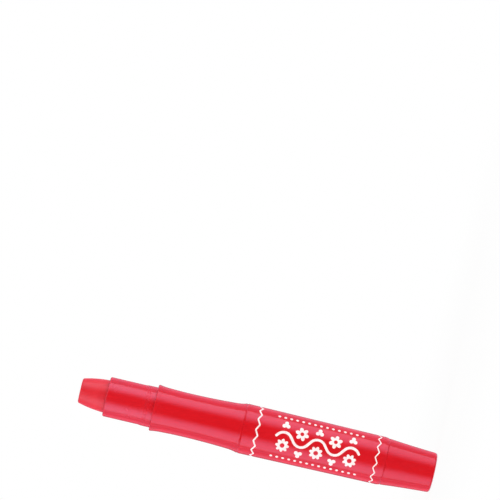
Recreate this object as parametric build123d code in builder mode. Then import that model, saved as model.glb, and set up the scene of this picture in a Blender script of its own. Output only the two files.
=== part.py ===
from build123d import *
import os

# Twist crayon. A wax stick stands on an elevator, and a screw spindle, turned by the knob at the rear
# end, drives the elevator along a guide tube. Millimetres, with +Z along the crayon's axis towards its
# writing tip, and the origin at the centre of the knob's flat rear face.

# Lengths along the axis, from the rear end to the tip
knob_length = 15.37
knob_journal_length = 5.3  # part of the knob that turns inside the barrel
barrel_length = 45.15
grip_length = 28.05
neck_length = 15.0  # neck in front of the grip
stick_reach = 8.3  # stick in front of the neck, as drawn

# Stick and guide tube
stick_radius = 5.13
tip_radius = 3.8
ogive_inset = 1.6  # start of the ogive below the neck's mouth
stick_recess = 0.7  # depth of the tip below the neck's mouth when wound right in
tube_wall = 0.75
tube_end_wall = 2.0
shoulder_height = 0.34  # land over the tube, which seats on the grip
land_step = 0.14  # land over the neck
land_length = 2.75
land_bevel = 0.85
groove_count = 2  # fine rings round the land
groove_depth = 0.075
groove_width = 0.3
groove_pitch = 0.6
groove_inset = 0.15  # middle of the front ring behind the land's front edge
keyway_depth = 0.35
keyway_stop = 3.4  # tube left whole between the keyways and the shoulder
bead_height = 0.2
bead_length = 1.0
bead_ramp = 0.6
bead_inset = 0.6  # bead in front of the tube's rear end

# Grip, with its waist, its flared ends and the spigot behind it
grip_wall = 0.72  # at the waist
waist_position = 17.55  # waist in front of the grip's rear edge
grip_rear_rise = 0.47  # start of the rear flare over the waist
rear_flare = 0.52
rear_flare_length = 2.95
grip_front_rise = 0.18  # start of the lip over the waist
lip_flare = 0.41
lip_length = 3.0
shoulder_seat = 1.9  # depth of the seat for the tube's shoulder
spigot_length = 5.0
spigot_wall = 0.65

# Barrel
barrel_step = 0.04  # barrel over the grip at the seam
barrel_taper = 0.34  # front over rear
draw_in = 0.21  # how far the rear end is drawn in to meet the knob
draw_length = 1.5
catch_length = 1.5  # inner ring that the tube's bead snaps behind
catch_ramp = 0.4

# Knob
knob_step = 0.02  # barrel's drawn-in end over the knob
knob_taper = 1.08  # front over rear
knob_hollow = 0.08  # depth of the hollow in the tapered side
knob_wall = 1.2
knob_rear_wall = 1.6
knob_journal_wall = 1.0
hub_wall = 1.2
socket_depth = 12.0
rib_count = 4
rib_thickness = 0.8
rib_depth = 4.3  # top of the ribs below the knob's front edge

# Spindle
screw_radius = 2.3
screw_core_radius = 1.6
screw_lobe_width = 1.7
screw_lead = 6.0
journal_radius = 2.45
collar_height = 1.55  # collar over the journal
collar_length = 1.5

# Elevator
nut_length = 5.0
cup_depth = 5.0
cup_wall = 0.6
key_width = 2.0

# Brake ring
ring_section = 1.0

# Clearances
seam_gap = 0.03  # between knob and barrel
slip_fit = 0.05
running_clearance = 0.1
feed_clearance = 0.12  # stick in the tube
slide_clearance = 0.1  # elevator in the tube
screw_clearance = 0.15  # screw in the nut
stick_bore_clearance = 0.3  # screw in the stick
bead_clearance = 0.25  # bead in the barrel's bore
end_gap = 0.4  # knob's journal to the tube, and elevator to the collar
thrust_gap = 0.1  # collar over the tube's end wall
ring_gap = 0.05
tail_gap = 0.3  # spindle's tail in the bottom of its socket
spigot_gap = 0.3
screw_end_gap = 1.0  # screw's top to the stick when wound right in

# Bevels on the edges that meet at the two outer seams
grip_bevel_length = 0.24
grip_bevel_depth = 0.145
barrel_bevel_length = 0.3  # at the grip's seam, down to the grip's own bevel
knob_bevel_length = 0.2  # on knob and barrel alike
knob_bevel_depth = 0.12

# Edge rounds
tip_round = 0.6
mouth_round = 0.45
mouth_bore_round = 0.2
lip_round = 0.4
knob_rear_round = 0.9
elevator_round = 0.2
edge_search = 0.001  # height band in which an edge to round is looked for

# Heights along the axis
barrel_bottom = knob_length + seam_gap
barrel_top = barrel_bottom + barrel_length
grip_top = barrel_top + grip_length
mouth = grip_top + neck_length
tip = mouth + stick_reach
shoulder_bottom = grip_top - shoulder_seat
land_top = grip_top + land_length
spigot_bottom = barrel_top - spigot_length
journal_top = knob_length + knob_journal_length
tube_bottom = journal_top + end_gap
tube_floor = tube_bottom + tube_end_wall
bead_bottom = tube_bottom + bead_inset
bead_top = bead_bottom + bead_ramp + bead_length
catch_bottom = bead_top + running_clearance
catch_top = catch_bottom + catch_length
keyway_top = shoulder_bottom - keyway_stop
hub_top = tube_bottom - ring_section - 2 * ring_gap
socket_bottom = hub_top - socket_depth
tail_bottom = socket_bottom + tail_gap
collar_bottom = tube_floor + thrust_gap
collar_top = collar_bottom + collar_length
screw_top = keyway_top
wind_in = stick_reach + stick_recess
elevator_bottom = collar_top + end_gap + wind_in
cup_floor = elevator_bottom + nut_length
cup_top = cup_floor + cup_depth
stick_bore_top = screw_top + wind_in + screw_end_gap

# Radii, from the axis outwards
tube_bore = stick_radius + feed_clearance
keyway_radius = tube_bore + keyway_depth
tube_radius = tube_bore + tube_wall
land_radius = tube_radius + shoulder_height
neck_radius = land_radius - land_step
bead_radius = tube_radius + bead_height
grip_bore = tube_radius + slip_fit
seat_radius = land_radius + slip_fit
waist_radius = grip_bore + grip_wall
lip_start_radius = waist_radius + grip_front_rise
lip_radius = lip_start_radius + lip_flare
flare_start_radius = waist_radius + grip_rear_rise
grip_rear_radius = flare_start_radius + rear_flare
seam_radius = grip_rear_radius - grip_bevel_depth
spigot_radius = grip_bore + spigot_wall
spigot_socket_radius = spigot_radius + slip_fit
barrel_bore = bead_radius + bead_clearance
catch_radius = tube_radius + slip_fit
barrel_front_radius = grip_rear_radius + barrel_step
barrel_rear_radius = barrel_front_radius - barrel_taper
barrel_end_radius = barrel_rear_radius - draw_in
knob_front_radius = barrel_end_radius - knob_step
knob_rear_radius = knob_front_radius - knob_taper
knob_journal_radius = barrel_bore - running_clearance
knob_bore_front = knob_journal_radius - knob_journal_wall
knob_bore_rear = knob_rear_radius - knob_wall
journal_bore = journal_radius + running_clearance
collar_radius = journal_radius + collar_height
hub_radius = journal_radius + slip_fit + hub_wall
elevator_radius = tube_bore - slide_clearance
key_radius = keyway_radius - slide_clearance
cup_radius = elevator_radius - cup_wall
plug_radius = cup_radius - slip_fit
stick_bore = screw_radius + stick_bore_clearance
ring_radius = journal_radius + ring_gap + ring_section / 2

os.makedirs("parts", exist_ok=True)


def screw_section(clearance):
    """Draw the two-lobed screw section in the open sketch, grown all round by a clearance."""
    Circle(screw_core_radius + clearance)
    SlotOverall(2 * (screw_radius + clearance), screw_lobe_width + 2 * clearance)


def circles_at(part, height):
    """Return the circular edges of a part at one height, from the innermost to the outermost."""
    circles = part.edges().filter_by(GeomType.CIRCLE)
    near = circles.filter_by_position(Axis.Z, height - edge_search, height + edge_search)
    return near.sort_by(SortBy.RADIUS)


# Stick: a round bar with a blunt ogive tip, a plug that fills the elevator's cup, and a blind bore
# that the screw enters
with BuildPart() as crayon_stick:
    with BuildSketch(Plane.XZ):
        with BuildLine():
            ogive = TangentArc((stick_radius, mouth - ogive_inset), (tip_radius, tip), tangent=(0, 1))
            Polyline(
                ogive @ 1,
                (0, tip),
                (0, stick_bore_top),
                (stick_bore, stick_bore_top),
                (stick_bore, cup_floor),
                (plug_radius, cup_floor),
                (plug_radius, cup_top + slip_fit),
                (stick_radius, cup_top + slip_fit),
                ogive @ 0,
            )
        make_face()
    revolve(axis=Axis.Z)
    fillet(circles_at(crayon_stick, tip)[-1], tip_round)
crayon_stick.part.label = "crayon_stick"
export_step(crayon_stick.part, "parts/crayon_stick.step")

# Elevator: a cup for the stick, a nut in its floor, and two keys that slide in the tube's keyways
with BuildPart() as elevator:
    with BuildSketch(Plane.XY.offset(elevator_bottom)):
        Circle(elevator_radius)
    extrude(amount=nut_length + cup_depth)
    with BuildSketch(Plane.XY.offset(cup_floor)):
        Circle(cup_radius)
    extrude(amount=cup_depth, mode=Mode.SUBTRACT)
    fillet(circles_at(elevator, elevator_bottom)[-1], elevator_round)
    with BuildSketch(Plane.XY.offset(elevator_bottom + elevator_round)):
        Circle(key_radius)
        Rectangle(2 * key_radius, key_width, mode=Mode.INTERSECT)
    extrude(amount=nut_length - elevator_round)
    with BuildSketch(
        Plane.XY.offset(elevator_bottom).rotated((0, 0, -360 * (elevator_bottom - collar_top) / screw_lead))
    ):
        screw_section(screw_clearance)
    with BuildLine(Plane.XZ) as nut_axis:
        Line((0, elevator_bottom), (0, cup_floor))
    with BuildLine(Plane.XY.offset(elevator_bottom)) as nut_guide:
        Helix(screw_lead, nut_length, key_radius, lefthand=True)
    sweep(path=nut_axis.line, binormal=nut_guide.wire(), mode=Mode.SUBTRACT)
elevator.part.label = "elevator"
export_step(elevator.part, "parts/elevator.step")

# Spindle: a left-hand two-start screw, a thrust collar and journal at the tube's end wall, and a
# six-sided tail for the knob's hub
with BuildPart() as spindle:
    with BuildSketch(Plane.XY.offset(tail_bottom)):
        RegularPolygon(journal_radius, 6)
    extrude(amount=hub_top - tail_bottom)
    with BuildSketch(Plane.XY.offset(hub_top)):
        Circle(journal_radius)
    extrude(amount=collar_bottom - hub_top)
    with BuildSketch(Plane.XY.offset(collar_bottom)):
        Circle(collar_radius)
    extrude(amount=collar_length)
    with BuildSketch(Plane.XY.offset(collar_top)):
        screw_section(0)
    with BuildLine(Plane.XZ) as screw_axis:
        Line((0, collar_top), (0, screw_top))
    with BuildLine(Plane.XY.offset(collar_top)) as screw_guide:
        Helix(screw_lead, screw_top - collar_top, collar_radius, lefthand=True)
    sweep(path=screw_axis.line, binormal=screw_guide.wire())
spindle.part.label = "spindle"
export_step(spindle.part, "parts/spindle.step")

# Guide tube: the neck and its ringed land in front, the shoulder that seats in the grip, the long bore with
# two keyways, and the end wall and snap bead at the rear
grooves = []
for ring in reversed(range(groove_count)):
    middle = land_top - groove_inset - ring * groove_pitch
    grooves += [
        (land_radius, middle - groove_width / 2),
        (land_radius - groove_depth, middle),
        (land_radius, middle + groove_width / 2),
    ]
with BuildPart() as guide_tube:
    with BuildSketch(Plane.XZ):
        with BuildLine():
            Polyline(
                (journal_bore, tube_bottom),
                (tube_radius, tube_bottom),
                (tube_radius, bead_bottom),
                (bead_radius, bead_bottom + bead_ramp),
                (bead_radius, bead_top),
                (tube_radius, bead_top),
                (tube_radius, shoulder_bottom),
                (land_radius, shoulder_bottom),
                *grooves,
                (neck_radius, land_top + land_bevel),
                (neck_radius, mouth),
                (tube_bore, mouth),
                (tube_bore, tube_floor),
                (journal_bore, tube_floor),
                close=True,
            )
        make_face()
    revolve(axis=Axis.Z)
    fillet(circles_at(guide_tube, mouth)[-1], mouth_round)
    fillet(circles_at(guide_tube, mouth)[0], mouth_bore_round)
    with BuildSketch(Plane.XY.offset(tube_floor)):
        Circle(keyway_radius)
        Rectangle(2 * keyway_radius, key_width + 2 * slide_clearance, mode=Mode.INTERSECT)
    extrude(amount=keyway_top - tube_floor, mode=Mode.SUBTRACT)
guide_tube.part.label = "guide_tube"
export_step(guide_tube.part, "parts/guide_tube.step")

# Grip: a sleeve drawn in to a waist and flared at both ends, with a seat for the tube's shoulder in its
# front lip, and a spigot that fits the barrel
with BuildPart() as grip:
    with BuildSketch(Plane.XZ):
        with BuildLine():
            waist = (waist_radius, barrel_top + waist_position)
            flare_start = (flare_start_radius, barrel_top + rear_flare_length)
            rear_edge = (grip_rear_radius, barrel_top + grip_bevel_length)
            rear_curve = TangentArc(waist, flare_start, tangent=(0, -1))
            TangentArc(flare_start, rear_edge, tangent=rear_curve % 1)
            front_curve = TangentArc(waist, (lip_start_radius, grip_top - lip_length), tangent=(0, 1))
            lip_curve = TangentArc(front_curve @ 1, (lip_radius, grip_top), tangent=front_curve % 1)
            Polyline(
                lip_curve @ 1,
                (seat_radius, grip_top),
                (seat_radius, shoulder_bottom),
                (grip_bore, shoulder_bottom),
                (grip_bore, spigot_bottom),
                (spigot_radius, spigot_bottom),
                (spigot_radius, barrel_top),
                (seam_radius, barrel_top),
                rear_edge,
            )
        make_face()
    revolve(axis=Axis.Z)
    fillet(circles_at(grip, grip_top)[-1], lip_round)
grip.part.label = "grip"
export_step(grip.part, "parts/grip.step")

# Barrel: a sleeve that tapers to the rear, where it is drawn in to the knob, with a socket for the grip's
# spigot, a catch ring for the tube's bead, and a bore that the knob's journal turns in
with BuildPart() as barrel:
    with BuildSketch(Plane.XZ):
        with BuildLine():
            draw_start = (barrel_rear_radius, barrel_bottom + draw_length)
            draw_end = (barrel_end_radius, barrel_bottom + knob_bevel_length)
            TangentArc(draw_start, draw_end, tangent=(0, -1))
            Polyline(
                draw_start,
                (barrel_front_radius, barrel_top - barrel_bevel_length),
                (seam_radius, barrel_top),
                (spigot_socket_radius, barrel_top),
                (spigot_socket_radius, spigot_bottom - spigot_gap),
                (barrel_bore, spigot_bottom - spigot_gap),
                (barrel_bore, catch_top + catch_ramp),
                (catch_radius, catch_top),
                (catch_radius, catch_bottom),
                (barrel_bore, catch_bottom),
                (barrel_bore, barrel_bottom),
                (barrel_end_radius - knob_bevel_depth, barrel_bottom),
                draw_end,
            )
        make_face()
    revolve(axis=Axis.Z)
barrel.part.label = "barrel"
export_step(barrel.part, "parts/barrel.step")

# Knob: a tapered hollow end with a journal that turns in the barrel, a hub whose six-sided socket
# holds the spindle's tail, and ribs from the hub to the wall
with BuildPart() as twist_knob:
    with BuildSketch(Plane.XZ):
        with BuildLine():
            front_edge = (knob_front_radius, knob_length - knob_bevel_length)
            SagittaArc((knob_rear_radius, 0), front_edge, knob_hollow)
            Polyline(
                front_edge,
                (knob_front_radius - knob_bevel_depth, knob_length),
                (knob_journal_radius, knob_length),
                (knob_journal_radius, journal_top),
                (knob_bore_front, journal_top),
                (knob_bore_front, knob_length),
                (knob_bore_rear, knob_rear_wall),
                (hub_radius, knob_rear_wall),
                (hub_radius, hub_top),
                (0, hub_top),
                (0, 0),
                (knob_rear_radius, 0),
            )
        make_face()
    revolve(axis=Axis.Z)
    fillet(circles_at(twist_knob, 0)[-1], knob_rear_round)
    with BuildSketch(Plane.XY.offset(socket_bottom)):
        RegularPolygon(journal_radius + slip_fit, 6)
    extrude(amount=socket_depth, mode=Mode.SUBTRACT)
    with BuildSketch(Plane.XY.offset(knob_rear_wall)):
        with PolarLocations((hub_radius + knob_bore_front) / 2, rib_count):
            Rectangle(knob_bore_front - hub_radius + knob_journal_wall, rib_thickness)
    extrude(amount=knob_length - rib_depth - knob_rear_wall)
twist_knob.part.label = "twist_knob"
export_step(twist_knob.part, "parts/twist_knob.step")

# Brake ring: an O-ring round the spindle's journal, between the knob's hub and the tube's end wall
with BuildPart() as brake_ring:
    with BuildSketch(Plane.XZ):
        with Locations((ring_radius, (hub_top + tube_bottom) / 2)):
            Circle(ring_section / 2)
    revolve(axis=Axis.Z)
brake_ring.part.label = "brake_ring"
export_step(brake_ring.part, "parts/brake_ring.step")
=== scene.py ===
"""Looks of a twist-up gel crayon, stood on its knob and seen side-on with its tip to the left.

Sizes are millimetres, and Blender works in metres. +Z runs along the crayon's axis, from the knob's flat
end to the writing tip. The print is laid out flat, with x round the barrel, y along it and z outwards, and
is then wrapped on the barrel's cone.
"""

import logging
import math
from dataclasses import dataclass
from enum import Enum
from functools import cached_property
from typing import Any, ClassVar

import bmesh
import bpy
from mathutils import Matrix, Vector


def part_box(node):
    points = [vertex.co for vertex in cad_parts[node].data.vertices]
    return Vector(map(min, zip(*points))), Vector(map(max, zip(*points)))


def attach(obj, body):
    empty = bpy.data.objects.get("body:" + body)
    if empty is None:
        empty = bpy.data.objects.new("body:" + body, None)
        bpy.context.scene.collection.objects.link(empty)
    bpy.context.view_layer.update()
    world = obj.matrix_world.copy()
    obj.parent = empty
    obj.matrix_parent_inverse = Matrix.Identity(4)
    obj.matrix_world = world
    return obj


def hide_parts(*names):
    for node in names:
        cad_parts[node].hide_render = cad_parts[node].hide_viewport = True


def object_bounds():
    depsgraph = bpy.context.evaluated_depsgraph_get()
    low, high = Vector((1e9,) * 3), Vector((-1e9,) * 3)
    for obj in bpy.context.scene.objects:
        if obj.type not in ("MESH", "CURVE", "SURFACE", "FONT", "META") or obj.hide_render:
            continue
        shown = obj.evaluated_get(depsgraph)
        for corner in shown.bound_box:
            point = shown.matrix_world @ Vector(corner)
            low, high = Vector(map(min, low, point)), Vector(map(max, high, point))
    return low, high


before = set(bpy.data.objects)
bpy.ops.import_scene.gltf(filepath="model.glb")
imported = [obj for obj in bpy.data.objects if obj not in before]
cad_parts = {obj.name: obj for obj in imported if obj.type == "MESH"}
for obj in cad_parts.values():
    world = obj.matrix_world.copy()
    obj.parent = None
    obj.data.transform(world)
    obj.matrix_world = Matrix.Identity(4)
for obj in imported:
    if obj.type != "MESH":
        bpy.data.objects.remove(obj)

CAD_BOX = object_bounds()
LOG = logging.getLogger("twist_crayon")
MM = 0.001
IMAGE_SIDE = 500  # pixels
FULL_TURN = 2 * math.pi
SHARP_EDGE = math.radians(35)
SEAM = 0.001 * MM  # points this close are one point
UNIT_SEAM = 0.0005  # the same on a shape of radius 1
NOISE_SPAN = (0.3, 0.7)  # where nearly all of a noise's values lie
WHITE = (1.0, 1.0, 1.0, 1.0)

# Node types that are used often
MATH, VECTOR_MATH, MAP_RANGE = "ShaderNodeMath", "ShaderNodeVectorMath", "ShaderNodeMapRange"
SEPARATE, COMBINE, NOISE = "ShaderNodeSeparateXYZ", "ShaderNodeCombineXYZ", "ShaderNodeTexNoise"
SET_POSITION, MERGE = "GeometryNodeSetPosition", "GeometryNodeMergeByDistance"
REALIZE = "GeometryNodeRealizeInstances"

Point = tuple[float, float]
Pair = tuple[float, float]  # two values that belong together
Ring = tuple[float, float, float]  # height, turn from the frieze in degrees, and width of the line


class Body(Enum):
    """The bodies that pieces ride on."""

    HOLDER = "holder"
    STICK = "stick"


class Slot(Enum):
    """The material slots that new pieces take their finish from."""

    WAX = "gel_wax"
    INK = "white_ink"


class Motif(Enum):
    """Small printed shapes: number of petals, radius between the petals, and radius of the hole."""

    DOT = (0, 1.0, 0.0)
    RING = (0, 1.0, 0.56)
    FLOWER = (6, 0.54, 0.28)
    CLOVER = (3, 0.41, 0.0)
    BLOSSOM = (8, 0.64, 0.34)


def linear(code: str) -> tuple[float, float, float, float]:
    """Turn an sRGB hex colour into linear light.

    Args:
        code: The colour as #RRGGBB.

    Returns:
        Linear red, green and blue, with an alpha of 1.
    """
    parts = [int(code[i : i + 2], 16) / 255 for i in (1, 3, 5)]
    red, green, blue = (c / 12.92 if c <= 0.04045 else ((c + 0.055) / 1.055) ** 2.4 for c in parts)
    return red, green, blue, 1.0


def add_node(
    tree: bpy.types.NodeTree,
    kind: str,
    settings: dict[str, Any] | None = None,
    inputs: dict[str | int, Any] | None = None,
) -> bpy.types.Node:
    """Add a node to a tree, with its settings and its links.

    Args:
        tree: The shader or geometry tree.
        kind: The node's type.
        settings: The node's own settings by name.
        inputs: What each input gets, by its name or number: a value, a socket, or a node, which gives its
            first output.

    Returns:
        The new node.
    """
    node = tree.nodes.new(kind)
    for name, value in (settings or {}).items():
        setattr(node, name, value)
    for key, value in (inputs or {}).items():
        source = value.outputs[0] if isinstance(value, bpy.types.Node) else value
        if isinstance(source, bpy.types.NodeSocket):
            tree.links.new(source, node.inputs[key])
        else:
            node.inputs[key].default_value = source
    return node


# Finishes


@dataclass(frozen=True)
class Grain:
    """A noise that stays on its piece: size of a patch, finer layers, and stretch along the crayon."""

    size: float
    layers: float = 2.0
    stretch: float = 1.0


@dataclass(frozen=True)
class Finish:
    """A solid finish: clouds of two close colours, a gloss that varies a little, and a fine relief."""

    name: str
    colour: str
    cloud_colour: str
    clouds: Grain
    roughness: Pair
    haze: Grain
    relief: Grain
    relief_depth: float
    ior: float
    sheen_tint: str = "#FFFFFF"
    glow: float = 0.0  # share of the light that goes in
    glow_reach: float = 1.0  # how far it goes
    glow_spread: tuple[float, float, float] = (1.0, 0.25, 0.2)  # in red, green and blue

    def material(self) -> bpy.types.Material:
        """Make the material.

        Returns:
            The material.
        """
        material = bpy.data.materials.new(self.name)
        material.use_nodes = True
        tree = material.node_tree
        place = add_node(tree, "ShaderNodeTexCoord").outputs["Object"]
        patterns = []
        for grain in (self.clouds, self.haze, self.relief):
            stretch = {"Vector": place, "Scale": (1.0, 1.0, 1 / grain.stretch)}
            drawn = add_node(tree, "ShaderNodeMapping", inputs=stretch)
            sizes = {"Vector": drawn, "Scale": 1 / (grain.size * MM), "Detail": grain.layers}
            patterns.append(add_node(tree, NOISE, inputs=sizes).outputs["Fac"])
        clouds, haze, relief = patterns
        low, high = NOISE_SPAN
        share = add_node(tree, MAP_RANGE, inputs={0: clouds, 1: low, 2: high})
        shades = {0: share, 6: linear(self.colour), 7: linear(self.cloud_colour)}
        colour = add_node(tree, "ShaderNodeMix", {"data_type": "RGBA"}, shades).outputs[2]
        smooth, rough = self.roughness
        gloss = add_node(tree, MAP_RANGE, inputs={0: haze, 1: low, 2: high, 3: smooth, 4: rough})
        skin = {"Distance": self.relief_depth * MM, "Height": relief}
        bump = add_node(tree, "ShaderNodeBump", inputs=skin)
        sockets = tree.nodes["Principled BSDF"].inputs
        tree.links.new(colour, sockets["Base Color"])
        tree.links.new(gloss.outputs[0], sockets["Roughness"])
        tree.links.new(bump.outputs[0], sockets["Normal"])
        sockets["IOR"].default_value = self.ior
        sockets["Specular Tint"].default_value = linear(self.sheen_tint)
        sockets["Subsurface Weight"].default_value = self.glow
        sockets["Subsurface Radius"].default_value = self.glow_spread
        sockets["Subsurface Scale"].default_value = self.glow_reach * MM
        return material


@dataclass(frozen=True)
class MouldedPolypropylene(Finish):
    """Polypropylene with red pigment, injection-moulded in a polished tool.

    The tool gives long clean highlights, pinkish from the pigment in the skin. Slow cooling leaves faint
    clouds where the pigment flowed, a breath of haze in the gloss, and a peel that only softens the edges of
    the highlights.
    """

    name: str = "injection_moulded_polypropylene"
    colour: str = "#D3151A"
    cloud_colour: str = "#CC1116"
    clouds: Grain = Grain(6.0, 3.0, 3.0)
    roughness: Pair = (0.12, 0.18)
    haze: Grain = Grain(2.5)
    relief: Grain = Grain(0.6)
    relief_depth: float = 0.0012
    ior: float = 1.49
    sheen_tint: str = "#FFCBFF"


@dataclass(frozen=True)
class HazedPolypropylene(MouldedPolypropylene):
    """The same plastic from a duller tool, which gives the neck's highlights soft, hazy edges."""

    name: str = "hazed_polypropylene"
    roughness: Pair = (0.2, 0.28)
    ior: float = 1.57


@dataclass(frozen=True)
class WornPolypropylene(MouldedPolypropylene):
    """The same plastic with a weaker gloss, worn by the fingers that turn the knob."""

    name: str = "worn_polypropylene"
    ior: float = 1.45


@dataclass(frozen=True)
class PouredGelWax(Finish):
    """Soft gel wax, poured into a tube mould.

    Light goes a little way in, so its edges glow. The skin is satin, with cloudy patches of pigment, streaks
    drawn along the stick, and shallow dents from handling.
    """

    name: str = "poured_gel_wax"
    colour: str = "#D92A33"
    cloud_colour: str = "#D1212A"
    clouds: Grain = Grain(3.5, 3.0)
    roughness: Pair = (0.34, 0.5)
    haze: Grain = Grain(0.7, 2.0, 9.0)
    relief: Grain = Grain(1.6, 3.0)
    relief_depth: float = 0.03
    ior: float = 1.44
    sheen_tint: str = "#FFE0FF"
    glow: float = 0.25
    glow_reach: float = 1.2


@dataclass(frozen=True)
class MouldedAcetal(Finish):
    """Acetal, moulded in its own milky white: waxy to the eye, satin, and nearly even in tone."""

    name: str = "moulded_acetal"
    colour: str = "#EFEDE6"
    cloud_colour: str = "#E4E1D8"
    clouds: Grain = Grain(4.0)
    roughness: Pair = (0.3, 0.42)
    haze: Grain = Grain(2.0)
    relief: Grain = Grain(0.5)
    relief_depth: float = 0.002
    ior: float = 1.48


@dataclass(frozen=True)
class MouldedSilicone(Finish):
    """Black silicone rubber, moulded as an O-ring: matt and fine-grained, with a dusting of paler bloom."""

    name: str = "moulded_silicone_rubber"
    colour: str = "#1B1B1C"
    cloud_colour: str = "#2E2D2D"
    clouds: Grain = Grain(0.8)
    roughness: Pair = (0.55, 0.72)
    haze: Grain = Grain(0.8)
    relief: Grain = Grain(0.15)
    relief_depth: float = 0.004
    ior: float = 1.41


@dataclass(frozen=True)
class ScreenInk(Finish):
    """White ink, screen-printed on red plastic.

    The film is thin, so a little of the red comes through in pinker patches, and its skin is duller than the
    plastic. The mesh of the screen leaves a fine tooth, drawn coarser here so that it shows.
    """

    name: str = "screen_printed_ink"
    colour: str = "#FBF3F2"
    cloud_colour: str = "#F6DCDB"
    clouds: Grain = Grain(1.3, 4.0)
    roughness: Pair = (0.38, 0.52)
    haze: Grain = Grain(1.3)
    relief: Grain = Grain(0.25)
    relief_depth: float = 0.004
    ior: float = 1.5


@dataclass(frozen=True)
class StudioPaper:
    """White matt paper under the crayon, which takes its shadow and is plain white further out."""

    name: str = "studio_paper"
    colour: str = "#F4F4F2"
    roughness: float = 0.9
    white_share: float = 0.93  # beside the crayon, where its shadow shows most
    shade: Pair = (30.0, 190.0)  # where the shadow starts to fade and where it has gone

    def material(self) -> bpy.types.Material:
        """Make the material.

        Returns:
            The material.
        """
        material = bpy.data.materials.new(self.name)
        material.use_nodes = True
        tree = material.node_tree
        paper = tree.nodes["Principled BSDF"]
        paper.inputs["Base Color"].default_value = linear(self.colour)
        paper.inputs["Roughness"].default_value = self.roughness
        place = add_node(tree, "ShaderNodeTexCoord").outputs["Object"]
        reach = add_node(tree, VECTOR_MATH, {"operation": "LENGTH"}, {0: place}).outputs["Value"]
        near, far = self.shade
        fade = {0: reach, 1: near * MM, 2: far * MM, 3: self.white_share, 4: 1.0}
        white = add_node(tree, MAP_RANGE, {"interpolation_type": "SMOOTHSTEP"}, fade)
        rays = add_node(tree, "ShaderNodeLightPath").outputs
        seen = add_node(tree, MATH, inputs={0: rays["Is Camera Ray"], 1: rays["Is Glossy Ray"]})
        seen = add_node(tree, MATH, {"use_clamp": True}, {0: seen, 1: rays["Is Transmission Ray"]})
        share = add_node(tree, MATH, {"operation": "MULTIPLY"}, {0: seen, 1: white})
        glow = add_node(tree, "ShaderNodeEmission", inputs={"Color": WHITE, "Strength": 1.0})
        surface = add_node(tree, "ShaderNodeMixShader", inputs={0: share, 1: paper, 2: glow})
        tree.links.new(surface.outputs[0], tree.nodes["Material Output"].inputs["Surface"])
        return material


# Geometry node trees

SOCKETS = {
    "geometry": "NodeSocketGeometry",
    "number": "NodeSocketFloat",
    "count": "NodeSocketInt",
    "choice": "NodeSocketBool",
    "material": "NodeSocketMaterial",
}


def begin_tree(name: str, inputs: dict[str, str]) -> tuple[bpy.types.NodeTree, Any]:
    """Start a geometry node tree.

    Args:
        name: Name of the tree.
        inputs: Kind of each input, by the input's name.

    Returns:
        The tree and the sockets of its inputs.
    """
    tree = bpy.data.node_groups.new(name, "GeometryNodeTree")
    for label, kind in inputs.items():
        tree.interface.new_socket(label, in_out="INPUT", socket_type=SOCKETS[kind])
    tree.interface.new_socket("Geometry", in_out="OUTPUT", socket_type=SOCKETS["geometry"])
    return tree, tree.nodes.new("NodeGroupInput").outputs


def end_tree(
    tree: bpy.types.NodeTree, geometry: bpy.types.Node, material: bpy.types.NodeSocket | None = None
) -> bpy.types.NodeTree:
    """Close a geometry node tree.

    Args:
        tree: The tree.
        geometry: The node with the finished geometry.
        material: The material to set on it, where the tree makes a whole piece.

    Returns:
        The tree.
    """
    if material is not None:
        geometry = add_node(tree, REALIZE, inputs={"Geometry": geometry})
        dressed = {"Geometry": geometry, "Material": material}
        geometry = add_node(tree, "GeometryNodeSetMaterial", inputs=dressed)
    add_node(tree, "NodeGroupOutput", inputs={0: geometry})
    return tree


def run_tree(tree: bpy.types.NodeTree, sizes: dict[str, Any], base: bpy.types.Mesh) -> bpy.types.Mesh:
    """Run a geometry node tree and keep its result as a plain mesh.

    Args:
        tree: The tree.
        sizes: Values of its inputs by name.
        base: The mesh that it starts from.

    Returns:
        The mesh.
    """
    carrier = bpy.data.objects.new("carrier", base)
    bpy.context.scene.collection.objects.link(carrier)
    modifier = carrier.modifiers.new("nodes", "NODES")
    modifier.node_group = tree
    sockets = {item.name: item for item in tree.interface.items_tree if item.in_out == "INPUT"}
    for name, value in sizes.items():
        modifier[sockets[name].identifier] = value
    carrier.update_tag()
    scene_state = bpy.context.evaluated_depsgraph_get()
    mesh = bpy.data.meshes.new_from_object(carrier.evaluated_get(scene_state), depsgraph=scene_state)
    bpy.data.objects.remove(carrier)
    return mesh


def finish_piece(
    name: str, meshes: list[bpy.types.Mesh], material: bpy.types.Material, body: Body
) -> bpy.types.Object:
    """Join meshes into one piece, with its faces outwards, and put it on its body.

    Args:
        name: Name of the piece.
        meshes: The meshes.
        material: Its material.
        body: The body that it rides on.

    Returns:
        The piece.
    """
    joined = bmesh.new()
    for mesh in meshes:
        joined.from_mesh(mesh)
    bmesh.ops.recalc_face_normals(joined, faces=joined.faces)
    mesh = bpy.data.meshes.new(name)
    joined.to_mesh(mesh)
    joined.free()
    mesh.materials.clear()
    mesh.materials.append(material)
    mesh.shade_smooth()
    mesh.set_sharp_from_angle(angle=SHARP_EDGE)
    piece = bpy.data.objects.new(name, mesh)
    bpy.context.scene.collection.objects.link(piece)
    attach(piece, body.value)
    LOG.info("%s: %d faces, on %s", name, len(mesh.polygons), body.value)
    return piece


def dress(node: str, material: bpy.types.Material) -> None:
    """Give a CAD node its material.

    Args:
        node: Name of the node.
        material: The material.
    """
    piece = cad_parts[node]
    if not piece.material_slots:
        piece.data.materials.append(material)
    for holder in piece.material_slots:
        holder.material = material
    LOG.info("%s: dressed in %s", node, material.name)


# Sub-assemblies


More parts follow.
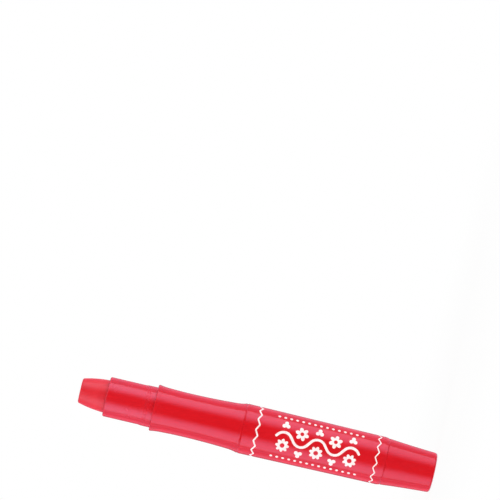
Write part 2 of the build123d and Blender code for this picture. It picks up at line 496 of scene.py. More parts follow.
@dataclass
class Holder:
    """The outer sleeves: the printed barrel, the waisted grip and the guide tube with its neck."""

    sleeves: tuple[str, ...] = ("barrel", "grip")
    tube: str = "guide_tube"

    def build(self, polished: bpy.types.Material, hazed: bpy.types.Material) -> None:
        """Dress the sleeves and the tube.

        Args:
            polished: Finish of the sleeves.
            hazed: Finish of the tube.
        """
        for node in self.sleeves:
            dress(node, polished)
        dress(self.tube, hazed)


@dataclass
class KnobAndScrew:
    """The knob, with the screw that it turns, the nut that the screw drives, and the brake ring."""

    shell: str = "twist_knob"
    screw: tuple[str, ...] = ("spindle", "elevator")
    ring: str = "brake_ring"

    def build(
        self, plastic: bpy.types.Material, acetal: bpy.types.Material, rubber: bpy.types.Material
    ) -> None:
        """Dress the knob, the screw and the ring.

        Args:
            plastic: Finish of the knob.
            acetal: Finish of the screw and its nut.
            rubber: Finish of the ring.
        """
        dress(self.shell, plastic)
        for node in self.screw:
            dress(node, acetal)
        dress(self.ring, rubber)


@dataclass
class CrayonStick:
    """The wax stick: a poured bar with a blunt ogive tip, a plug for its cup and a bore for the screw."""

    node: str = "crayon_stick"
    tip_radius: float = 3.8
    tip_round: float = 0.6
    ogive_length: float = 9.9
    plug_radius: float = 4.5
    plug_length: float = 5.05
    bore_radius: float = 2.6
    bore_depth: float = 18.6  # of the bore's end below the tip
    side_step: float = 0.9
    least_step: float = 0.05
    ogive_steps: int = 22
    round_steps: int = 7
    face_steps: int = 6
    segments: int = 144
    path_radius: float = 1.0  # of the circle that the section is swept round
    wobble: Pair = (0.025, 0.09)  # on the side and at the tip
    wobble_size: float = 3.2
    wobble_layers: float = 2.0
    wobble_level: float = 0.62  # noise that leaves the skin where it is
    seed: float = 7.0

    def __post_init__(self) -> None:
        """Take the outer sizes from the solid that the stick stands for."""
        low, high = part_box(self.node)
        self.radius, self.bottom, self.tip = high.x / MM, low.z / MM, high.z / MM

    def profile(self) -> list[Point]:
        """Draw half of the section, from the middle of the tip round to the top of the bore.

        Returns:
            Points as (radius, height).
        """
        draw_in, start = self.radius - self.tip_radius, self.tip - self.ogive_length
        arc = (self.ogive_length**2 + draw_in**2) / (2 * draw_in)
        slope = math.asin(self.ogive_length / arc)
        bends = [slope * i / self.ogive_steps for i in range(self.ogive_steps + 1)]
        ogive = [(self.radius - arc * (1 - math.cos(a)), start + arc * math.sin(a)) for a in bends]
        corner = math.pi / 2 - slope
        across, height = self.tip_radius - self.tip_round * math.tan(corner / 2), self.tip - self.tip_round
        turns = [corner * i / self.round_steps for i in range(self.round_steps + 1)]
        edge = [
            (across + self.tip_round * math.sin(a), height + self.tip_round * math.cos(a)) for a in turns
        ]
        face = [(across * i / self.face_steps, self.tip) for i in range(self.face_steps)]
        side = [point for point in reversed(ogive) if point[1] < edge[-1][1] - self.least_step]
        plug_top = self.bottom + self.plug_length
        count = round((start - plug_top) / self.side_step)
        bar = [(self.radius, start + (plug_top - start) * i / count) for i in range(1, count + 1)]
        foot = [
            (self.plug_radius, plug_top),
            (self.plug_radius, self.bottom),
            (self.bore_radius, self.bottom),
            (self.bore_radius, self.tip - self.bore_depth),
            (0.0, self.tip - self.bore_depth),
        ]
        return face + edge + side + bar + foot

    def tree(self) -> bpy.types.NodeTree:
        """Make the tree that turns a section about the axis and gives it the uneven skin of poured wax.

        Returns:
            The tree.
        """
        tree, given = begin_tree(
            "turned_wax",
            {
                "Geometry": "geometry",
                "Segments": "count",
                "Path Radius": "number",
                "Side Wobble": "number",
                "Tip Wobble": "number",
                "Wobble Level": "number",
                "Wobble Scale": "number",
                "Wobble Layers": "number",
                "Ogive Start": "number",
                "Tip": "number",
                "Seed": "number",
                "Material": "material",
            },
        )
        section = add_node(tree, "GeometryNodeMeshToCurve", inputs={"Mesh": given["Geometry"]})
        circle = {"Resolution": given["Segments"], "Radius": given["Path Radius"]}
        path = add_node(tree, "GeometryNodeCurvePrimitiveCircle", inputs=circle)
        path = add_node(tree, "GeometryNodeSetCurveNormal", {"mode": "Z_UP"}, {"Curve": path})
        turned = add_node(tree, "GeometryNodeCurveToMesh", inputs={"Curve": path, "Profile Curve": section})
        turned = add_node(tree, MERGE, inputs={"Geometry": turned, "Distance": SEAM})
        place = add_node(tree, "GeometryNodeInputPosition")
        height = add_node(tree, SEPARATE, inputs={0: place}).outputs["Z"]
        ends = [given[name] for name in ("Ogive Start", "Tip", "Side Wobble", "Tip Wobble")]
        growth = {0: height, **dict(enumerate(ends, 1))}
        reach = add_node(tree, MAP_RANGE, {"interpolation_type": "SMOOTHSTEP"}, growth)
        wobble = {
            "Vector": place,
            "W": given["Seed"],
            "Scale": given["Wobble Scale"],
            "Detail": given["Wobble Layers"],
        }
        skin = add_node(tree, NOISE, {"noise_dimensions": "4D"}, wobble).outputs["Fac"]
        skin = add_node(tree, MATH, {"operation": "SUBTRACT"}, {0: skin, 1: given["Wobble Level"]})
        skin = add_node(tree, MATH, {"operation": "MULTIPLY"}, {0: skin, 1: reach})
        outward = add_node(tree, "GeometryNodeInputNormal")
        push = add_node(tree, VECTOR_MATH, {"operation": "SCALE"}, {0: outward, "Scale": skin})
        uneven = add_node(tree, SET_POSITION, inputs={"Geometry": turned, "Offset": push})
        return end_tree(tree, uneven, given["Material"])

    def build(self, wax: bpy.types.Material) -> None:
        """Make the stick in place of its plain solid.

        Args:
            wax: Finish of the stick.
        """
        points = [((r - self.path_radius) * MM, -z * MM, 0.0) for r, z in self.profile()]
        section = bpy.data.meshes.new("stick_section")
        section.from_pydata(points, [(i, i + 1) for i in range(len(points) - 1)], [])
        sizes = {
            "Segments": self.segments,
            "Path Radius": self.path_radius * MM,
            "Side Wobble": self.wobble[0] * MM,
            "Tip Wobble": self.wobble[1] * MM,
            "Wobble Level": self.wobble_level,
            "Wobble Scale": 1 / (self.wobble_size * MM),
            "Wobble Layers": self.wobble_layers,
            "Ogive Start": (self.tip - self.ogive_length) * MM,
            "Tip": self.tip * MM,
            "Seed": self.seed,
            "Material": wax,
        }
        mesh = run_tree(self.tree(), sizes, section)
        piece = finish_piece("wax_stick", [mesh], wax, Body.STICK)
        dress(self.node, wax)
        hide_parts(self.node)


@dataclass
class BarrelCone:
    """The barrel's outer cone, which flat print is wrapped on as a thin film."""

    node: str = "barrel"
    taper: float = 0.34  # front radius over rear radius
    drawn_in: float = 1.5  # length of the rear end that leaves the cone
    front_bevel: float = 0.3  # length of the front edge that leaves it
    film: float = 0.03  # over the plastic
    sunk: float = 0.025  # into the plastic

    FILM: ClassVar[dict[str, str]] = {"Underside": "number", "Thickness": "number"}
    PLACE: ClassVar[dict[str, str]] = {
        "Facing": "number",
        "Turn Per Length": "number",
        "Rear Radius": "number",
        "Front Radius": "number",
        "Rear Height": "number",
        "Front Height": "number",
    }

    def __post_init__(self) -> None:
        """Take the cone's ends from the barrel."""
        low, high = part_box(self.node)
        self.front_radius, self.front_height = high.x / MM, high.z / MM - self.front_bevel
        self.rear_radius, self.rear_height = self.front_radius - self.taper, low.z / MM + self.drawn_in
        self.girth = FULL_TURN * (self.rear_radius + self.front_radius) / 2

    def sizes(self, facing: float, ink: bpy.types.Material) -> dict[str, Any]:
        """Give the inputs that place a flat print on the barrel.

        Args:
            facing: Where x = 0 goes, as a turn from +X, in degrees.
            ink: Material of the print.

        Returns:
            Values by input.
        """
        return {
            "Facing": math.radians(facing),
            "Turn Per Length": FULL_TURN / (self.girth * MM),
            "Rear Radius": self.rear_radius * MM,
            "Front Radius": self.front_radius * MM,
            "Rear Height": self.rear_height * MM,
            "Front Height": self.front_height * MM,
            "Underside": -self.sunk * MM,
            "Thickness": (self.film + self.sunk) * MM,
            "Material": ink,
        }

    @cached_property
    def tree(self) -> bpy.types.NodeTree:
        """Make the tree that bends flat geometry round the cone.

        Returns:
            The tree.
        """
        tree, given = begin_tree("wrap_on_barrel", {"Geometry": "geometry", **self.PLACE})
        flat = add_node(tree, SEPARATE, inputs={0: add_node(tree, "GeometryNodeInputPosition")}).outputs
        bend = {0: flat["X"], 1: given["Turn Per Length"], 2: given["Facing"]}
        turn = add_node(tree, MATH, {"operation": "MULTIPLY_ADD"}, bend)
        ends = [given[name] for name in ("Rear Height", "Front Height", "Rear Radius", "Front Radius")]
        cone = add_node(tree, MAP_RANGE, {"clamp": False}, {0: flat["Y"], **dict(enumerate(ends, 1))})
        radius = add_node(tree, MATH, {"operation": "ADD"}, {0: cone, 1: flat["Z"]})
        spoke = add_node(tree, COMBINE, inputs={"X": radius, "Z": flat["Y"]})
        turning = {"Vector": spoke, "Angle": turn}
        bent = add_node(tree, "ShaderNodeVectorRotate", {"rotation_type": "Z_AXIS"}, turning)
        wrapped = add_node(tree, SET_POSITION, inputs={"Geometry": given["Geometry"], "Position": bent})
        return end_tree(tree, wrapped)

    def wrap(self, tree: bpy.types.NodeTree, given: Any, geometry: bpy.types.Node) -> bpy.types.Node:
        """Add the wrapping to a tree, and close the seams that it brings together.

        Args:
            tree: The tree.
            given: Sockets of the tree's inputs.
            geometry: The node with the flat print.

        Returns:
            The node with the wrapped print.
        """
        inputs = {"Geometry": geometry, **{name: given[name] for name in self.PLACE}}
        bent = add_node(tree, "GeometryNodeGroup", {"node_tree": self.tree}, inputs)
        return add_node(tree, MERGE, inputs={"Geometry": bent, "Distance": SEAM})


@dataclass(frozen=True)
class Stroke:
    """A printed line that swings from side to side of a straight run."""

    start: Point
    end: Point
    swing: Point
    turns: int
    line: float
    corner: float
    ring: bool = False  # runs right round the barrel and meets itself
    pressure: float = 0.0  # how much the line's width varies, as a share
    pressure_size: float = 3.0
    seed: float = 0.0
    step: float = 0.14
    corner_steps: int = 7
    end_bite: float = 0.985  # how far a rounded end narrows, as the cosine of its arc

    def beside(self, bend: int) -> Vector:
        """Give the point of the straight run beside a bend.

        Args:
            bend: Number of the bend, from 0.

        Returns:
            The point, laid out flat.
        """
        return Vector(self.start).lerp(Vector(self.end), (bend + 0.5) / self.turns)

    def corners(self) -> bpy.types.Mesh:
        """Draw the line's corners, joined by straight edges.

        Returns:
            The mesh, laid out flat.
        """
        bends = [self.beside(i) + Vector(self.swing) * (-1) ** i for i in range(self.turns)]
        spots = [Vector(self.start), *bends, Vector(self.end)]
        edges = [(i, i + 1) for i in range(self.turns + 1)]
        mesh = bpy.data.meshes.new("corners")
        mesh.from_pydata([spot.to_3d() * MM for spot in spots], edges, [])
        return mesh

    def sizes(self) -> dict[str, Any]:
        """Give the inputs that draw the line.

        Returns:
            Values by input.
        """
        return {
            "Corner Radius": self.corner * MM,
            "Corner Steps": self.corner_steps,
            "Line": self.line * MM,
            "Half Line": self.line / 2 * MM,
            "Step": self.step * MM,
            "End Bite": 0.0 if self.ring else self.end_bite,
            "Caps": not self.ring,
            "Thin": 1 - self.pressure / 2,
            "Thick": 1 + self.pressure / 2,
            "Pressure Scale": 1 / (self.pressure_size * MM),
            "Seed": self.seed,
        }


@dataclass(frozen=True)
class Stamp:
    """One printed motif, with its place on the flat print, its radius and its turn."""

    motif: Motif
    x: float
    y: float
    radius: float
    turn: float = 0.0


@dataclass
class BarrelPrint:
    """White print on the barrel: a zigzag ring at each end, a flowering frieze and a scatter of motifs."""

    cone: BarrelCone
    facing: float = -86.9  # of the frieze, as a turn from +X, in degrees
    back_turn: float = 180.0  # of the scatter, from the frieze
    ring_waves: int = 14
    ring_swing: float = 0.48
    ring_corner: float = 0.36
    front_ring: Ring = (56.04, -2.5, 0.48)
    rear_ring: Ring = (18.46, -1.4, 0.37)
    stem: Stroke = Stroke((0.0, 50.2), (0.0, 23.8), (3.4, 0.0), 5, 0.8, 2.6, pressure=0.4, seed=4.0)
    blooms: tuple[Motif, ...] = (Motif.BLOSSOM, Motif.FLOWER)
    bloom: Pair = (2.4, 2.15)  # distance from the stem's run and radius
    bloom_turn: float = 0.3
    leaf: Pair = (4.15, 1.35)  # the same two of a leaf
    border: Pair = (7.0, 0.44)  # distance from the run and radius of a dot
    border_dots: int = 15
    round_segments: int = 28
    petal_segments: int = 72
    spokes: int = 4  # points on each spoke of a motif
    back: tuple[Stamp, ...] = (
        Stamp(Motif.FLOWER, -1.2, 47.5, 2.1, 0.3),
        Stamp(Motif.CLOVER, 4.6, 43.6, 1.6, 1.2),
        Stamp(Motif.RING, -4.9, 42.2, 0.9),
        Stamp(Motif.BLOSSOM, 0.4, 38.0, 2.3, 0.1),
        Stamp(Motif.CLOVER, -4.8, 35.2, 1.6, 0.4),
        Stamp(Motif.RING, 5.0, 35.6, 0.9),
        Stamp(Motif.FLOWER, 2.2, 29.4, 2.1, 0.8),
        Stamp(Motif.DOT, -2.6, 43.3, 0.5),
        Stamp(Motif.DOT, 3.1, 49.8, 0.42),
        Stamp(Motif.DOT, 4.2, 39.3, 0.5),
        Stamp(Motif.DOT, -3.6, 31.0, 0.42),
        Stamp(Motif.CLOVER, -2.6, 26.6, 1.4, 2.0),
        Stamp(Motif.DOT, 5.2, 31.9, 0.5),
        Stamp(Motif.DOT, 1.0, 33.9, 0.42),
        Stamp(Motif.DOT, 1.4, 25.2, 0.5),
    )

    SHAPE: ClassVar[dict[str, str]] = {
        "Petals": "number",
        "Valley": "number",
        "Hole": "number",
        "Segments": "count",
    }

    def begin_print(self, name: str, inputs: dict[str, str]) -> tuple[bpy.types.NodeTree, Any]:
        """Start a tree that ends as a film on the barrel.

        Args:
            name: Name of the tree.
            inputs: Kind of each input of its own, by the input's name.

        Returns:
            The tree and the sockets of its inputs.
        """
        return begin_tree(name, {**inputs, **self.cone.FILM, **self.cone.PLACE, "Material": "material"})

    @cached_property
    def line_tree(self) -> bpy.types.NodeTree:
        """Make the tree that prints a line along a run of corners.

        Returns:
            The tree.
        """
        tree, given = self.begin_print(
            "printed_line",
            {
                "Geometry": "geometry",
                "Corner Radius": "number",
                "Corner Steps": "count",
                "Line": "number",
                "Half Line": "number",
                "Step": "number",
                "End Bite": "number",
                "Caps": "choice",
                "Thin": "number",
                "Thick": "number",
                "Pressure Scale": "number",
                "Seed": "number",
            },
        )
        run = add_node(tree, "GeometryNodeMeshToCurve", inputs={"Mesh": given["Geometry"]})
        bend = {"Curve": run, "Count": given["Corner Steps"], "Radius": given["Corner Radius"]}
        run = add_node(tree, "GeometryNodeFilletCurve", {"mode": "POLY"}, {**bend, "Limit Radius": True})
        even = {"Curve": run, "Length": given["Step"]}
        run = add_node(tree, "GeometryNodeResampleCurve", {"mode": "LENGTH"}, even)
        run = add_node(tree, "GeometryNodeSetCurveNormal", {"mode": "Z_UP"}, {"Curve": run})
        done = add_node(tree, "GeometryNodeSplineParameter").outputs["Length"]
        whole = add_node(tree, "GeometryNodeCurveLength", inputs={"Curve": run})
        left = add_node(tree, MATH, {"operation": "SUBTRACT"}, {0: whole, 1: done})
        end = add_node(tree, MATH, {"operation": "MINIMUM"}, {0: done, 1: left})
        bite = {0: end, 2: given["Half Line"], 3: given["End Bite"], 4: 0.0}
        bite = add_node(tree, MAP_RANGE, inputs=bite)
        bite = add_node(tree, MATH, {"operation": "ARCCOSINE"}, {0: bite})
        taper = add_node(tree, MATH, {"operation": "SINE"}, {0: bite})
        place = add_node(tree, "GeometryNodeInputPosition")
        press = {"Vector": place, "W": given["Seed"], "Scale": given["Pressure Scale"]}
        press = add_node(tree, NOISE, {"noise_dimensions": "4D"}, press).outputs["Fac"]
        weight = add_node(tree, MAP_RANGE, inputs={0: press, 3: given["Thin"], 4: given["Thick"]})
        width = add_node(tree, MATH, {"operation": "MULTIPLY"}, {0: taper, 1: weight})
        section = {"Width": given["Line"], "Height": given["Thickness"]}
        section = add_node(tree, "GeometryNodeCurvePrimitiveQuadrilateral", inputs=section)
        swept = {"Curve": run, "Profile Curve": section, "Scale": width, "Fill Caps": given["Caps"]}
        line = add_node(tree, "GeometryNodeCurveToMesh", inputs=swept)
        middle = {0: given["Thickness"], 1: 0.5, 2: given["Underside"]}
        middle = add_node(tree, MATH, {"operation": "MULTIPLY_ADD"}, middle)
        lift = add_node(tree, COMBINE, inputs={"Z": middle})
        line = add_node(tree, SET_POSITION, inputs={"Geometry": line, "Offset": lift})
        return end_tree(tree, self.cone.wrap(tree, given, line), given["Material"])

    @cached_property
    def motif_tree(self) -> bpy.types.NodeTree:
        """Make the tree for one flat motif of radius 1, as a closed film.

        Returns:
            The tree.
        """
        tree, given = begin_tree("motif_film", {**self.SHAPE, **self.cone.FILM})
        rows = add_node(tree, MATH, {"operation": "ADD"}, {0: given["Segments"], 1: 1.0})
        grid = {"Size X": 1.0, "Size Y": 1.0, "Vertices X": self.spokes, "Vertices Y": rows}
        sheet = add_node(tree, "GeometryNodeMeshGrid", inputs=grid)
        polar = add_node(tree, SEPARATE, inputs={0: sheet.outputs["UV Map"]}).outputs
        turn = add_node(tree, MATH, {"operation": "MULTIPLY"}, {0: polar["Y"], 1: FULL_TURN})
        petal = add_node(tree, MATH, {"operation": "MULTIPLY"}, {0: turn, 1: given["Petals"]})
        petal = add_node(tree, MATH, {"operation": "MULTIPLY"}, {0: petal, 1: 0.5})
        petal = add_node(tree, MATH, {"operation": "COSINE"}, {0: petal})
        petal = add_node(tree, MATH, {"operation": "ABSOLUTE"}, {0: petal})
        edge = add_node(tree, MAP_RANGE, inputs={0: petal, 3: given["Valley"], 4: 1.0})
        radius = add_node(tree, MAP_RANGE, inputs={0: polar["X"], 3: given["Hole"], 4: edge})
        spoke = add_node(tree, COMBINE, inputs={"X": radius, "Z": given["Underside"]})
        turning = {"Vector": spoke, "Angle": turn}
        spot = add_node(tree, "ShaderNodeVectorRotate", {"rotation_type": "Z_AXIS"}, turning)
        sheet = add_node(tree, SET_POSITION, inputs={"Geometry": sheet, "Position": spot})
        sheet = add_node(tree, MERGE, inputs={"Geometry": sheet, "Distance": UNIT_SEAM})
        rise = add_node(tree, COMBINE, inputs={"Z": given["Thickness"]})
        pulled = {"Mesh": sheet, "Offset": rise, "Offset Scale": 1.0, "Individual": False}
        top = add_node(tree, "GeometryNodeExtrudeMesh", inputs=pulled)
        under = add_node(tree, "GeometryNodeFlipFaces", inputs={"Mesh": sheet})
        film = add_node(tree, "GeometryNodeJoinGeometry", inputs={0: top})
        tree.links.new(under.outputs[0], film.inputs[0])
        film = add_node(tree, MERGE, inputs={"Geometry": film, "Distance": SEAM})
        return end_tree(tree, film)

    @cached_property
    def places_tree(self) -> bpy.types.NodeTree:
        """Make the tree that prints a motif at each point of a mesh, with the point's own size and turn.

        Returns:
            The tree.
        """
        tree, given = self.begin_print("printed_motifs", {"Geometry": "geometry", **self.SHAPE})
        shape = {name: given[name] for name in (*self.SHAPE, *self.cone.FILM)}
        motif = add_node(tree, "GeometryNodeGroup", {"node_tree": self.motif_tree}, shape)
        size = add_node(tree, "GeometryNodeInputNamedAttribute", inputs={"Name": "size"})
        turn = add_node(tree, "GeometryNodeInputNamedAttribute", inputs={"Name": "turn"})
        scale = add_node(tree, COMBINE, inputs={"X": size, "Y": size, "Z": 1.0})
        angles = add_node(tree, COMBINE, inputs={"Z": turn})
        turned = add_node(tree, "FunctionNodeEulerToRotation", inputs={0: angles})
        placed = {"Points": given["Geometry"], "Instance": motif, "Rotation": turned, "Scale": scale}
        prints = add_node(tree, "GeometryNodeInstanceOnPoints", inputs=placed)
        prints = add_node(tree, REALIZE, inputs={"Geometry": prints})
        return end_tree(tree, self.cone.wrap(tree, given, prints), given["Material"])

    def shape_sizes(self, motif: Motif) -> dict[str, Any]:
        """Give the inputs that draw a motif.

        Args:
            motif: The motif.

        Returns:
            Values by input.
        """
        petals, valley, hole = motif.value
        segments = self.petal_segments if petals else self.round_segments
        return {"Petals": float(petals), "Valley": valley, "Hole": hole, "Segments": segments}

    def print_stamps(self, stamps: tuple[Stamp, ...], place: dict[str, Any]) -> list[bpy.types.Mesh]:
        """Print motifs, one mesh for each kind.

        Args:
            stamps: The motifs.
            place: The inputs that place the print on the barrel.

        Returns:
            The meshes.
        """
        meshes = []
        for motif in dict.fromkeys(stamp.motif for stamp in stamps):
            alike = [stamp for stamp in stamps if stamp.motif is motif]
            points = bpy.data.meshes.new("places")
            points.from_pydata([(stamp.x * MM, stamp.y * MM, 0.0) for stamp in alike], [], [])
            sizes, turns = [stamp.radius * MM for stamp in alike], [stamp.turn for stamp in alike]
            for name, values in (("size", sizes), ("turn", turns)):
                points.attributes.new(name, "FLOAT", "POINT").data.foreach_set("value", values)
            meshes.append(run_tree(self.places_tree, {**self.shape_sizes(motif), **place}, points))
        return meshes

    def frieze_stamps(self) -> tuple[Stamp, ...]:
        """Lay out the frieze: a flower in each hollow of the stem, a leaf outside it, and dotted borders.

        Returns:
            The motifs.
        """
        (bloom_aside, bloom_radius), (leaf_aside, leaf_radius) = self.bloom, self.leaf
        stamps = []
        for i in range(self.stem.turns):
            side, height = (-1) ** i, self.stem.beside(i).y
            flower, turn = self.blooms[i % len(self.blooms)], i * self.bloom_turn
            away = 0.0 if side > 0 else math.pi
            stamps.append(Stamp(flower, -side * bloom_aside, height, bloom_radius, turn))
            stamps.append(Stamp(Motif.CLOVER, side * leaf_aside, height, leaf_radius, away))
        aside, radius = self.border
        for i in range(self.border_dots):
            spot = Vector(self.stem.start).lerp(Vector(self.stem.end), i / (self.border_dots - 1))
            stamps += [Stamp(Motif.DOT, side * aside, spot.y, radius) for side in (1, -1)]
        return tuple(stamps)

    def build(self, ink: bpy.types.Material) -> None:
        """Print the barrel.

        Args:
            ink: Finish of the print.
        """
        rings = {"front_zigzag": self.front_ring, "rear_zigzag": self.rear_ring}
        for name, (height, turn, line) in rings.items():
            ends, swing = ((0.0, height), (self.cone.girth, height)), (0.0, self.ring_swing)
            ring = Stroke(*ends, swing, 2 * self.ring_waves, line, self.ring_corner, ring=True)
            sizes = {**ring.sizes(), **self.cone.sizes(self.facing + turn, ink)}
            mesh = run_tree(self.line_tree, sizes, ring.corners())
            finish_piece(name, [mesh], ink, Body.HOLDER)
        place = self.cone.sizes(self.facing, ink)
        stem = run_tree(self.line_tree, {**self.stem.sizes(), **place}, self.stem.corners())
        frieze = [stem, *self.print_stamps(self.frieze_stamps(), place)]
        finish_piece("front_print", frieze, ink, Body.HOLDER)
        behind = self.cone.sizes(self.facing + self.back_turn, ink)
        finish_piece("back_print", self.print_stamps(self.back, behind), ink, Body.HOLDER)


# Studio


@dataclass(frozen=True)
class Softbox:
    """One soft lamp, which may have a feathered inner edge.

    It is placed by degrees round the crayon, from the camera's side, and by its tilt towards the tip.
    """

    name: str
    side: int  # 1 is the upper side of the picture, and -1 the lower
    inner: float
    outer: float
    radiance: float  # 1 is plain white
    feather: float = 0.0  # width of the feathered edge
    steps: int = 0  # strips that the edge is made of
    in_gloss: bool = True
    in_diffuse: bool = True
    tilt: float = 0.0
    distance: float = 620.0
    height: float = 1400.0
    lift: float = 55.0  # of the point that it faces

    def hang(self, name: str, first: float, last: float, radiance: float) -> None:
        """Hang one panel, facing the crayon.

        Args:
            name: Name of the lamp.
            first: Where the panel starts, in degrees.
            last: Where it ends, in degrees.
            radiance: Its brightness.
        """
        data = bpy.data.lights.new(name, "AREA")
        data.shape = "RECTANGLE"
        data.size = 2 * self.distance * math.tan(math.radians(last - first) / 2) * MM
        data.size_y = self.height * MM
        data.energy = radiance * math.pi * data.size * data.size_y
        turn, tilt = math.radians(self.side * (first + last) / 2), math.radians(self.tilt)
        level, axis = Vector((math.sin(turn), -math.cos(turn), 0.0)), Vector((0.0, 0.0, 1.0))
        outward, across = level * math.cos(tilt) + axis * math.sin(tilt), axis.cross(level)
        turned = Matrix((across, outward.cross(across), outward)).transposed().to_4x4()
        lamp = bpy.data.objects.new(name, data)
        lamp.matrix_world = Matrix.Translation((outward * self.distance + axis * self.lift) * MM) @ turned
        lamp.visible_glossy, lamp.visible_diffuse = self.in_gloss, self.in_diffuse
        bpy.context.scene.collection.objects.link(lamp)

    def build(self) -> None:
        """Hang the main panel and the weaker strips of its feathered edge."""
        self.hang(self.name, self.inner, self.outer, self.radiance)
        for i in range(self.steps):
            step = self.feather / self.steps
            first, share = self.inner - self.feather + i * step, (i + 0.5) / self.steps
            self.hang(f"{self.name}_edge_{i + 1}", first, first + step, self.radiance * share)


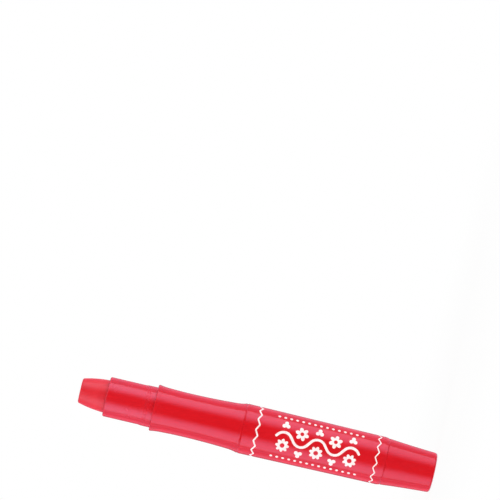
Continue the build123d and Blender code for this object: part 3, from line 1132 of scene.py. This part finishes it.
@dataclass
class Studio:
    """The paper floor, the lamps, the white surround and the camera at the photograph's viewing angle."""

    floor_radius: float = 1600.0
    floor_segments: int = 96
    floor_drop: float = 0.2
    softboxes: tuple[Softbox, ...] = (
        Softbox("upper_softbox", 1, 64.0, 93.5, 3.15, 28.0, 3),
        Softbox("upper_card", 1, 93.5, 104.0, 0.3),
        Softbox("lower_softbox", -1, 48.0, 81.0, 2.9, 27.0, 3),
        Softbox("lower_card", -1, 81.0, 97.0, 0.6),
        Softbox("back_fill", 1, 155.0, 205.0, 1.9, in_gloss=False),
        Softbox("tip_card", 1, -26.0, 26.0, 1.6, in_diffuse=False, tilt=95.0, height=450.0),
        Softbox("tip_fill", 1, -45.0, 45.0, 0.65, in_gloss=False, tilt=55.0, height=500.0),
    )
    ambient: float = 0.05  # brightness of the dim room to matt surfaces
    room: float = 0.2  # and to the gloss
    sweep_middle: float = 0.475  # how far behind the crayon the white sweep stands, as a sine
    sweep_half: float = 0.345  # half of its width, and its soft edge
    sweep_edge: float = 0.1
    sweep_turn: float = 6.8  # towards the lower side, in degrees
    sweep_colour: str = "#F9DCFF"
    knob_pixel: Point = (433.23, 472.9)  # middles of the two ends in the picture
    tip_pixel: Point = (80.46, 390.29)
    distance: float = 1000.0  # of the camera
    sensor: float = 36.0
    clip: Pair = (0.01, 20.0)  # metres

    def build_floor(self, paper: bpy.types.Material) -> None:
        """Lay the paper floor, which the gloss and the lamps see through.

        Args:
            paper: Finish of the floor.
        """
        disc, radius = bmesh.new(), self.floor_radius * MM
        bmesh.ops.create_circle(disc, cap_ends=True, segments=self.floor_segments, radius=radius)
        bmesh.ops.translate(disc, verts=disc.verts, vec=(0.0, 0.0, -self.floor_drop * MM))
        mesh = bpy.data.meshes.new("paper_floor")
        disc.to_mesh(mesh)
        disc.free()
        mesh.materials.append(paper)
        floor = bpy.data.objects.new("paper_floor", mesh)
        bpy.context.scene.collection.objects.link(floor)
        floor.visible_glossy = floor.visible_shadow = False

    def build_surround(self) -> None:
        """Make the surround: white to the eye, and to the gloss a dim room with a white sweep behind."""
        world = bpy.data.worlds.new("studio")
        bpy.context.scene.world = world
        world.use_nodes = True
        tree = world.node_tree
        rays = add_node(tree, "ShaderNodeLightPath").outputs
        way = add_node(tree, "ShaderNodeTexCoord").outputs["Generated"]
        turn = math.radians(self.sweep_turn)
        behind = (-math.sin(turn), math.cos(turn), 0.0)
        depth = add_node(tree, VECTOR_MATH, {"operation": "DOT_PRODUCT"}, {0: way, 1: behind})
        depth = depth.outputs["Value"]
        off = add_node(tree, MATH, {"operation": "SUBTRACT"}, {0: depth, 1: self.sweep_middle})
        off = add_node(tree, MATH, {"operation": "ABSOLUTE"}, {0: off})
        edge = {0: off, 1: self.sweep_half, 2: self.sweep_half + self.sweep_edge, 3: 1.0, 4: 0.0}
        sweep = add_node(tree, MAP_RANGE, {"interpolation_type": "SMOOTHSTEP"}, edge)
        seen = {0: rays["Is Glossy Ray"], 1: sweep, 2: rays["Is Camera Ray"]}
        seen = add_node(tree, MATH, {"operation": "MULTIPLY_ADD"}, seen)
        seen = add_node(tree, MATH, {"operation": "ADD"}, {0: seen, 1: rays["Is Transmission Ray"]})
        dim = {0: rays["Is Glossy Ray"], 2: self.ambient, 3: self.room}
        dim = add_node(tree, "ShaderNodeMix", inputs=dim)
        strength = add_node(tree, "ShaderNodeMix", inputs={0: seen, 2: dim, 3: 1.0})
        tints = {0: rays["Is Glossy Ray"], 6: WHITE, 7: linear(self.sweep_colour)}
        tint = add_node(tree, "ShaderNodeMix", {"data_type": "RGBA"}, tints).outputs[2]
        surround = tree.nodes["Background"]
        tree.links.new(tint, surround.inputs["Color"])
        tree.links.new(strength.outputs[0], surround.inputs["Strength"])

    def build_camera(self) -> None:
        """Place the camera so that the crayon's two ends fall where the photograph has them."""
        length = CAD_BOX[1].z / MM
        run = Vector((self.tip_pixel[0] - self.knob_pixel[0], self.knob_pixel[1] - self.tip_pixel[1]))
        scale = run.length / length
        run.normalize()
        right, up, back = Vector((run.y, 0.0, run.x)), Vector((-run.x, 0.0, run.y)), Vector((0.0, -1.0, 0.0))
        aside = (self.knob_pixel[0] - IMAGE_SIDE / 2) / scale
        above = (IMAGE_SIDE / 2 - self.knob_pixel[1]) / scale
        spot = back * self.distance - right * aside - up * above
        data = bpy.data.cameras.new("camera")
        data.sensor_width = self.sensor
        data.lens = scale * self.distance / IMAGE_SIDE * self.sensor
        data.clip_start, data.clip_end = self.clip
        camera = bpy.data.objects.new("camera", data)
        camera.matrix_world = Matrix.Translation(spot * MM) @ Matrix((right, up, back)).transposed().to_4x4()
        bpy.context.scene.collection.objects.link(camera)
        bpy.context.scene.camera = camera

    def build(self, paper: bpy.types.Material) -> None:
        """Set up the studio.

        Args:
            paper: Finish of the floor.
        """
        bpy.context.scene.view_settings.view_transform = "Standard"
        self.build_floor(paper)
        self.build_surround()
        for softbox in self.softboxes:
            softbox.build()
        self.build_camera()
        LOG.info("studio: %d lamps", len(self.softboxes))


def main() -> None:
    """Dress the sleeves, the knob and its screw, make the stick and the print, and set up the studio."""
    logging.basicConfig(level=logging.INFO, format="%(message)s")
    Holder().build(MouldedPolypropylene().material(), HazedPolypropylene().material())
    worn, acetal = WornPolypropylene().material(), MouldedAcetal().material()
    KnobAndScrew().build(worn, acetal, MouldedSilicone().material())
    CrayonStick().build(PouredGelWax().material())
    BarrelPrint(BarrelCone()).build(ScreenInk().material())
    Studio().build(StudioPaper().material())


if __name__ == "__main__":
    main()
